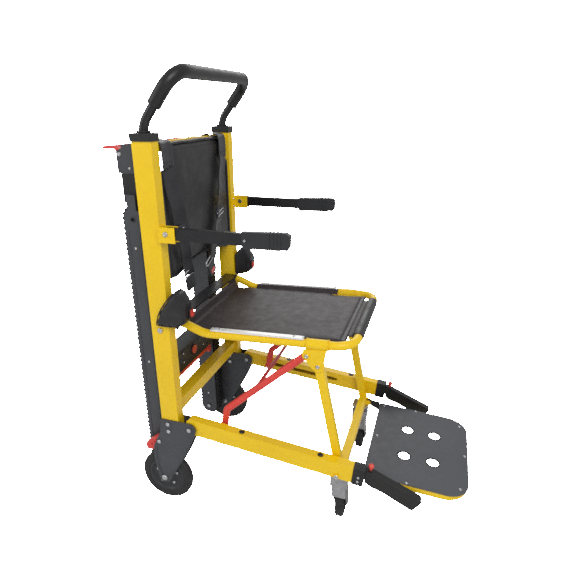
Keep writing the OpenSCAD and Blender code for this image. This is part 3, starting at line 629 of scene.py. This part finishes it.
loop = spline([at(-8.5, y, z) for y, z in back_edge(3)], 3)
sweep("backrest_binding", loop, rounded(9, 7, 2.8, 4), (1, 0, 0), "vinyl", "back_frame")
seam = spline([at(-5.6, y, z) for y, z in back_edge(15)], 3)
stitches("backrest_stitching", [seam, [at(-5.8, y, 1105) for y in range(-140, 141, 8)]],
         Vector((1, 0, 0)), "back_frame")
sweep("backrest_top_fold", [at(-13, y, 1121.5 + 0.6 * math.sin(y / 19)) for y in range(-158, 159, 6)],
      rounded(14, 8, 3.8, 4), (1, 0, 0), "vinyl", "back_frame")

# ------------------------------------------------------------------ harness
BACK = "back_frame"
runs = {
    "near_strap_loop": ([(-56, -186, 1058), (-57.5, -186, 1100), (-55, -186, 1126),
                         (-38, -186, 1132.5), (-14, -186, 1132.5), (1, -186, 1126),
                         (4.5, -186, 1100), (4.5, -185, 1060)], (0, 1, 0), 54),
    "far_strap_loop": ([(-56, 156, 1058), (-57.5, 155, 1100), (-55, 154, 1126),
                        (-38, 154, 1132.5), (-14, 154, 1132.5), (1, 154, 1126),
                        (4.5, 154, 1100), (4.5, 152, 1060)], (0, 1, 0), 50),
    "near_strap_upper": ([(4.5, -185, 1062), (7, -179, 1020), (10, -166, 960), (10, -152, 905),
                          (10, -149, 884)], (0.34, 1, 0), 50),
    "far_strap_upper": ([(4.5, 152, 1062), (5, 143, 1020), (6, 127, 960), (7, 113, 905),
                         (7.5, 107, 884)], (-0.06, 1, 0), 46),
    "near_strap_lower": ([(9, -149, 890), (10, -146, 868), (9, -138, 820), (8, -131, 785),
                          (8, -126, 748)], (0.22, 1, 0), 44),
    "far_strap_lower": ([(7, 108, 890), (7, 99, 866), (7, 76, 825), (7, 50, 780),
                         (7, 33, 750)], (-0.10, 1, 0), 44),
}
for name, (pts, across, w) in runs.items():
    path = spline([at(*p) for p in pts], 7)
    for i, p in enumerate(path):
        if "loop" not in name:
            p.x += 0.0012 * math.sin(i * 0.55)
    sweep(name, path, strap_section(w, 2.2), across, "webbing", BACK)
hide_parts("harness_webbing")
stitches("strap_box_stitches",
         [[at(6.4, y0 + dy, z) for dy, z in ((-19, 1078), (19, 1078), (19, 1062), (-19, 1062),
                                             (-19, 1078), (19, 1062))]
          for y0 in (-185, 152)], Vector((1, 0, 0)), BACK, pitch=3.6, length=2.4)


def frame_at(p, turn):
    """Origin and the across and up directions of a buckle that leans by turn degrees in Y and Z."""
    a = math.radians(turn)
    return at(*p), Vector((0, math.cos(a), math.sin(a))), Vector((0, -math.sin(a), math.cos(a)))


first = None
for tag, p, lean in (("near", (10.0, -149.5, 887.5), 4), ("far", (7.0, 107, 887.5), 14)):
    o, u, v = frame_at(p, lean)
    ringpath = [o + u * a / 1000 + v * b / 1000 for a, b in rounded(50, 28, 6, 5)]
    adj = sweep(f"{tag}_adjuster_frame", ringpath, rounded(5.5, 6, 2, 3), (1, 0, 0),
                "dark_plastic", BACK, closed=True)
    first = first or adj
    for i, b in enumerate((-6, 6)):
        bar = [o + u * a / 1000 + v * b / 1000 + Vector((0.002, 0, 0)) for a in range(-23, 24, 4)]
        sweep(f"{tag}_adjuster_bar_{i}", bar, circle(2.1, 10), (1, 0, 0), "steel", BACK, mat="chrome")
for tag, p, lean in (("near", (4.5, -122, 722), 8), ("far", (4.5, 21, 722), 24)):
    o, u, v = frame_at(p, lean)
    prism(f"{tag}_buckle_body", rounded(48, 46, 9, 5), o, u, v, 7.2, "dark_plastic", BACK, bevel=2.4)
    prism(f"{tag}_buckle_press", rounded(26, 15, 4, 4), o + Vector((0.0066, 0, 0)) - v * 0.008, u, v, 1.6,
          "red_plastic" if tag == "far" else "dark_plastic", BACK, bevel=0.7)
    tongue = [o + Vector((0.0035, 0, 0)) + u * a / 1000 + v * (b + 31) / 1000
              for a, b in rounded(44, 17, 5, 5)]
    sweep(f"{tag}_tongue", tongue, rounded(3.6, 4, 1.2, 3), (1, 0, 0), "steel", BACK,
          closed=True, mat="chrome")
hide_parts("harness_buckles")

# ------------------------------------------------------------------ belt cuffs round the posts


def cuff_shape(c, normal):
    y, z = abs(c.y * 1000), c.z * 1000
    if normal.y * c.y > 0.2 or normal.x > 0.4:
        c += normal * (0.0010 * math.sin(z / 9.0 + y / 21.0) + wrinkle(c, 30, 1.3))
    if abs(c.y) < 0.2504 and (c.x - FRONT) < 0.0004:
        c.x = min(c.x, FRONT)
    return c


pad("belt_cuffs", "lap_belt_boots", BACK, "vinyl", cuff_shape,
    shrink=1.4, voxel=0.004, cap=0.004)
for side, k in SIDES:
    rim = [at(x, k * 262.2, z) for x, z in ((-31, 642), (-19, 675), (6, 712), (33, 739), (47, 732), (60, 699),
                                            (60, 666), (51, 648), (19, 637), (-24, 636))]
    sweep(f"cuff_binding_{side}", spline(rim + rim[:1], 4)[:-1], circle(1.7, 8), (0, 1, 0),
          "vinyl", BACK, closed=True)
    prism(f"button_housing_{side}", rounded(22, 28, 5, 4), at(61.4, k * RAIL_Y, 674),
          (0, 1, 0), (0, 0, 1), 4.6, "black_plastic", BACK, bevel=1.4)

# ------------------------------------------------------------------ push handle, armrests
for side, k in SIDES:
    a, b = at(-28.5, k * RAIL_Y, 1173), at(70, k * RAIL_Y, 1296)
    d = (b - a).normalized()
    revolve([(a + (b - a) * 0.4, d, [(12.6, -5), (17.2, -5), (18.4, -3.4), (18.4, 1.0), (17.6, 3),
                                     (16.5, 3.4)])],
            f"grip_end_ring_{side}", "black_plastic", "push_handle")
    revolve([(at(-28.5, k * RAIL_Y, 1153), (0, 0, 1),
              [(12.9, -0.5), (17.5, -0.5), (17.5, 4.0), (16, 5.5), (12.9, 5.8)])],
            f"collar_bush_{side}", "black_plastic", BACK)
    # Armrest: bolt heads, ribs of the moulded grip and its end button
    arm = f"armrest_{side}"
    revolve([(at(24, k * 263.2, 902), (0, k, 0), screw(5.2, 2.6))],
            f"armrest_bolt_{side}", "steel", BACK, n=24)
    for i in range(4):
        x = 309 + i * 9.5
        crest = 924.6 + i * 0.25
        pts = [at(x, k * (ARM_Y + dy), z)
               for dy, z in ((9.2, 884), (9.4, 900), (9.2, 916), (7.4, crest), (-7.4, crest),
                             (-9.2, 916), (-9.4, 900), (-9.2, 884))]
        sweep(f"grip_rib_{side}_{i}", spline(pts, 3), rounded(3.4, 2.0, 0.9, 3), (1, 0, 0),
              "dark_plastic", arm)
    prism(f"grip_end_{side}", rounded(12, 26, 5, 4), at(360.2, k * ARM_Y, 906), (0, 1, 0), (0, 0, 1),
          2.0, "black_plastic", arm, bevel=0.9)
    revolve([(at(244, k * 258.6, 900), (0, k, 0), screw(3.0, 1.4))], f"grip_screw_{side}", "steel", arm, n=20)
    # Bracket screws
    revolve([(at(4.0, k * y, z), (1, 0, 0), screw(3.2, 2.0)) for y, z in ((229, 886), (229, 911))],
            f"bracket_screws_{side}", "steel", BACK, n=20)

# ------------------------------------------------------------------ back frame, rails and legs
SL = math.radians(6)


def rail(s, y, n):
    """A point in a side rail's own frame: s mm from its pivot along it, n mm above."""
    return at(38 + s * math.cos(SL) + n * math.sin(SL), y, 291 + n * math.cos(SL) - s * math.sin(SL))


ALONG, OVER = (math.cos(SL), 0, -math.sin(SL)), (math.sin(SL), 0, math.cos(SL))

for side, k in SIDES:
    head = lambda p, y, r, h: (at(p[0], k * y, p[1]), (0, k, 0), screw(r, h))
    revolve([head((38, 291), 257.6, 5.4, 1.8), head((-34, 272), 257.4, 5.0, 1.8),
             head((-34, 298), 257.4, 5.0, 1.8), head((-66, 88), 257.8, 7.6, 2.4),
             head((-28.5, 615), 253.8, 6.4, 2.2), head((-72, 226), 256.8, 5.0, 1.6)],
            f"frame_bolt_heads_{side}", "steel", BACK, n=28)
    revolve([(rail(459.4, k * 252.4, -13.05), (0, k, 0), screw(6.2, 2.0))],
            f"leg_bolt_heads_{side}", "steel", "legs", n=28)
    # Dark round plugs on the rail's top and a moulded rear plug
    revolve([(rail(s, k * RAIL_Y, 31.9), OVER,
              [(0.01, 0.9), (4.2, 0.9), (5.6, 1.7), (7.4, 1.7), (8.4, 0.8), (8.6, 0)]) for s in (162, 404)],
            f"rail_plugs_{side}", "black_plastic", "rails", n=28)
    prism(f"rail_rear_plug_{side}", [(-13.2, -18), (-13.2, 22), (-2, 30), (2, 30), (-4, 20), (-6, -16)],
          rail(-2.2, k * RAIL_Y - 12.4, 0), ALONG, OVER, -24.8,
          "black_plastic", "rails", bevel=1.5)
    # Black slide strip inside the slot of the rail
    for n in (11.2, 0.8):
        sweep(f"slot_lip_{side}_{int(n)}", [rail(s, k * 217.9, n) for s in range(92, 356, 12)],
              rounded(1.0, 1.4, 0.4, 3), (0, 1, 0), "black_plastic", "rails")
    # Gusset bolts and weld beads
    revolve([(at(x, k * 219.3, z), (0, k, 0), screw(5.2, 2.0)) for x, z in ((427, 554), (395, 581))],
            f"gusset_bolts_{side}", "steel", "seat", n=24)
    weld = [at(-9.2, k * y, z) for y, z in ((215, 322), (215.2, 335), (215.0, 348), (215.1, 361))]
    sweep(f"weld_bead_{side}", spline(weld, 8), circle(1.8, 8), (1, 0, 0), "yellow_paint", BACK)
    for s in (393 - 85, 453 - 85):
        loop = [seat(s, k * SEAT_Y + 15.6 * math.cos(t * 0.2618), 15.6 * math.sin(t * 0.2618)) for t in range(24)]
        sweep(f"gusset_lip_{side}_{s}", loop, circle(1.1, 8), (1, 0, 0), "yellow_paint", "seat", closed=True)
    # Front handle: finger ribs and the knob's collar
    for i in range(5):
        s = 596 + i * 15.0
        n = -30.0 - (i * 15.0 - 1) * 0.3875
        pts = [rail(s, k * y, n + dn)
               for y, dn in ((217.6, 8), (217.4, 0), (220, -1.6), (228, -2.2), (236, -1.6),
                             (238.6, 0), (238.4, 8))]
        sweep(f"handle_rib_{side}_{i}", spline(pts, 3), rounded(4.0, 2.2, 1.0, 3), ALONG,
              "black_plastic", f"front_grip_{side}")
    revolve([(rail(549, k * 228, 24.6), OVER,
              [(4.4, 0), (7.0, 0), (7.0, 1.3), (6.2, 2.0), (4.4, 2.0)])],
            f"knob_collar_{side}", "black_plastic", f"front_grip_{side}", n=28)
    revolve([(rail(520, k * 248.9, n), (0, k, 0), screw(3.4, 1.4)) for n in (4, -10)],
            f"end_cap_screws_{side}", "steel", "rails", n=20)

# ------------------------------------------------------------------ rear wheels and casters
for side, k in SIDES:
    c = at(-66, k * RAIL_Y, 88)
    wheel = f"rear_wheel_{side}"
    for out in (-1, 1):
        o = c + Vector((0, out * 0.004, 0))
        tag = f"{side}_{'out' if out == k else 'in'}"
        revolve([(o, (0, out, 0), [(18.0, 0), (19.5, 4.2), (22, 3.4), (26, 1.0), (44, 0.8), (49, 2.4),
                                   (52.5, 6.2), (54.2, 8)])],
                f"hub_dish_{tag}", "dark_plastic", wheel, n=64)
        spokes = []
        for i in range(5):
            a = 2 * math.pi * i / 5 + 0.3
            spoke = o + Vector((math.cos(a), 0, math.sin(a))) * 0.036 + Vector((0, out * 0.0006, 0))
            spokes.append((spoke, (0, out, 0),
                           [(0.01, 1.3), (2.2, 1.3), (2.6, 2.6), (4.4, 2.6), (5.2, 1.6), (5.4, 0)]))
        revolve(spokes, f"hub_bolts_{tag}", "steel", wheel, n=20)
        revolve([(c, (0, out, 0), [(62.3, 11.9), (63.5, 13.3), (65.5, 13.3), (66.5, 12.9)]),
                 (c, (0, out, 0), [(76.0, 12.9), (76.8, 13.5), (78.2, 13.5), (79.0, 12.9)])],
                f"sidewall_rings_{tag}", "rubber_tyre", wheel, n=72)
    # Step strip and stiffening bead on the wheel bracket
    pts = [at(x, k * 254.3, z) for x, z in ((-84, 200), (-88, 160), (-76, 92))]
    sweep(f"bracket_bead_{side}", spline(pts, 6), circle(1.5, 8), (0, 1, 0), "grey_paint", BACK)
    pts = [at(x, k * 254.3, z) for x, z in ((42, 250), (8, 186), (-42, 92))]
    sweep(f"bracket_bead_front_{side}", spline(pts, 6), circle(1.5, 8), (0, 1, 0), "grey_paint", BACK)
    # Caster: hub caps, thread guards and the swivel's dust ring
    hub = at(CASTER[0], k * CASTER[1] + 36, 50)
    revolve([(hub, (e, 0, 0), [(4.2, 13), (12.5, 13), (14, 8), (20, 5.6), (28, 6.2), (32, 10),
                               (33.5, 12.9)]) for e in (-1, 1)],
            f"caster_hub_{side}", "dark_plastic", f"caster_roll_{side}", n=48)
    revolve([(hub + Vector((e * 0.021, 0, 0)), (e, 0, 0), screw(7.0, 3.0)) for e in (-1, 1)],
            f"caster_axle_nuts_{side}", "zinc", f"caster_{side}", n=24)
    revolve([(at(CASTER[0], k * CASTER[1], 184), (0, 0, 1),
              [(22.0, 3), (23.4, 5), (23.4, 12), (21.6, 15.6), (18, 17.4)])],
            f"caster_race_{side}", "zinc", f"caster_{side}", n=40)
    revolve([(at(CASTER[0] + dx, k * CASTER[1] + dy, 202), (0, 0, -1), screw(3.6, 2.2))
             for dx in (-23, 23) for dy in (-21, 20)],
            f"caster_plate_bolts_{side}", "steel", "legs", n=20)

# ------------------------------------------------------------------ footplate
FS = math.radians(3.9)
FOOT = Vector((math.sin(FS), 0, math.cos(FS)))


def foot(l, y, n):
    return at(520 + l * math.cos(FS) + n * math.sin(FS), y, 213.5 - l * math.sin(FS) + n * math.cos(FS))


revolve([(foot(l, y, 0), FOOT, [(17.4, -2.8), (17.4, 0.3), (18.3, 1.1), (20.2, 1.1), (21.4, 0.4), (21.6, 0)])
         for l in (148, 234) for y in (-66.5, 66.5)], "drain_rims", "black_plastic", "footplate", n=48)
revolve([(foot(l, y, 0), FOOT, [(0.01, 1.5), (2.4, 1.4), (3.8, 0.8), (4.3, 0)])
         for l, y in ((56, -176), (56, 176), (166, -184), (166, 184), (314, -152), (314, 152),
                      (328, 0), (56, 0))],
        "board_rivets", "steel", "footplate", n=24)
for side, k in SIDES:
    arm = [(-5, -6.3), (-7.6, 0), (-5, 6.3), (0, 7.7), (39.4, 4.6), (39.4, -4.2), (65.5, -4.2), (65.5, -22.6),
           (39.6, -22.6), (3, -7.7)]
    prism(f"hinge_arm_cover_{side}", arm, foot(0, k * 180 + 5.6, 0), (math.cos(FS), 0, -math.sin(FS)),
          FOOT, 11.2, "black_paint", "footplate", bevel=0.8)

# ------------------------------------------------------------------ stair track
screws = []
for side, k in SIDES:
    for z in (150, 480, 840):
        for dy in (-28.2, 28.2):
            screws.append((at(-107, k * TRACK_Y + dy, z), (0, 1 if dy > 0 else -1, 0), screw(3.8, 1.9)))
    for y in (162.2, 200.8):
        out = 1 if y > TRACK_Y else -1
        for x, z in ((-76, 1060), (-104, 1060), (-76, 1082)):
            screws.append((at(x, k * y, z), (0, out * k, 0), screw(3.4, 1.8)))
        screws.append((at(-132, k * y, 1096), (0, out * k, 0), screw(5.0, 2.2)))
revolve(screws, "track_screws", "steel", "track", n=18)
for side, k in SIDES:
    for j, x in enumerate((-89, -125)):
        sweep(f"track_bead_{side}_{j}", [at(x, k * 209.7, z) for z in range(130, 891, 20)],
              circle(1.2, 8), (1, 0, 0), "grey_paint", "track")
revolve([(at(-70, 0, 426), (1, 0, 0),
          [(15.4, 0), (19, 0), (19.6, 1.2), (18.6, 2.6), (15.8, 2.6), (15.4, 1)])],
        "button_bezel", "dark_plastic", "track", n=40)
for i, z in enumerate((398, 450)):
    sweep(f"housing_groove_{i}", [at(-69.6, y, z) for y in range(-148, 149, 8)],
          rounded(2.4, 1.2, 0.5, 3), (0, 0, 1), "black_plastic", "track")
revolve([(at(-69.9, y, z), (1, 0, 0), screw(3.6, 1.8)) for y in (-140, -70, 70, 140) for z in (410, 442)],
        "housing_screws", "steel", "track", n=20)
sweep("latch_lever_sleeve", [at(-180, y, 1112) for y in range(-60, 61, 5)], circle(6.2, 16),
      (1, 0, 0), "red_plastic", "track_latch_lever", subsurf=1)
